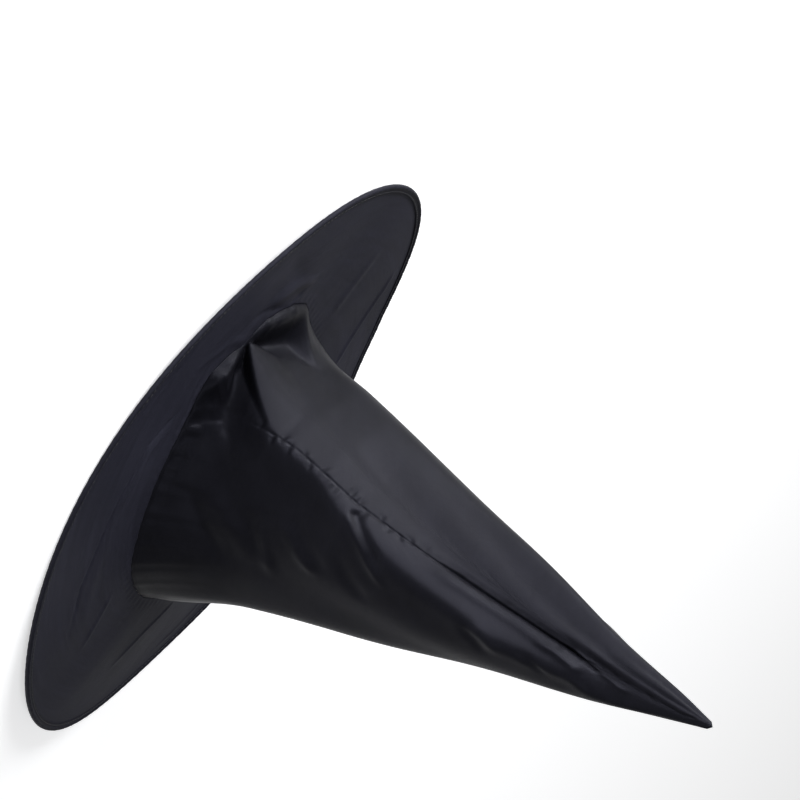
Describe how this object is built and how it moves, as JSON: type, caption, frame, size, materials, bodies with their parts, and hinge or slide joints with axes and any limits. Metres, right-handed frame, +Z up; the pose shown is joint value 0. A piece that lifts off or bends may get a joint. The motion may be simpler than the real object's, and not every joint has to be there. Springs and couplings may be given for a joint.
{
  "type": "witch hat",
  "caption": "Pointed black cloth witch hat: a wide round brim stiffened by a hoop wire in its edge, and a tall seamed crown that leans and can flop over.",
  "frame": {"origin": "on the floor under the middle of the brim, with the hat standing on its brim's edge", "axes": "+Z up, through the head opening; the crown leans towards -X and a little -Y, and its seam is on the -Y side"},
  "size_m": [0.3799, 0.38, 0.345],
  "materials": {
    "black_satin": "satin",
    "black_casing_cloth": "satin",
    "black_tape": "matte",
    "black_thread": "satin",
    "spring_steel": "satin",
    "crimp_brass": "satin"
  },
  "bodies": {
    "hat_base": {"brim_top_cloth": "black_satin", "brim_under_cloth": "black_satin", "brim_edge_casing": "black_casing_cloth", "hoop_wire": "spring_steel", "hoop_sleeve": "crimp_brass", "casing_stitching": "black_thread", "head_tape": "black_tape", "head_seam_stitching": "black_thread", "crown_lower": "black_satin", "crown_seam_allowance_lower": "black_satin", "crown_seam_thread_lower": "black_thread", "crown_fold": "black_satin", "crown_seam_allowance_fold": "black_satin", "crown_seam_thread_fold": "black_thread"},
    "crown_tip_body": {"crown_tip": "black_satin", "crown_seam_allowance_tip": "black_satin", "crown_seam_thread_tip": "black_thread"}
  },
  "joints": [
    {"name": "crown_flop", "type": "hinge", "parent": "hat_base", "child": "crown_tip_body", "pos_m": [-0.02, -0.011, 0.185], "axis": [0, 1, 0], "range_deg": [-50, 50], "deforming": ["crown_fold", "crown_seam_allowance_fold", "crown_seam_thread_fold"]}
  ]
}
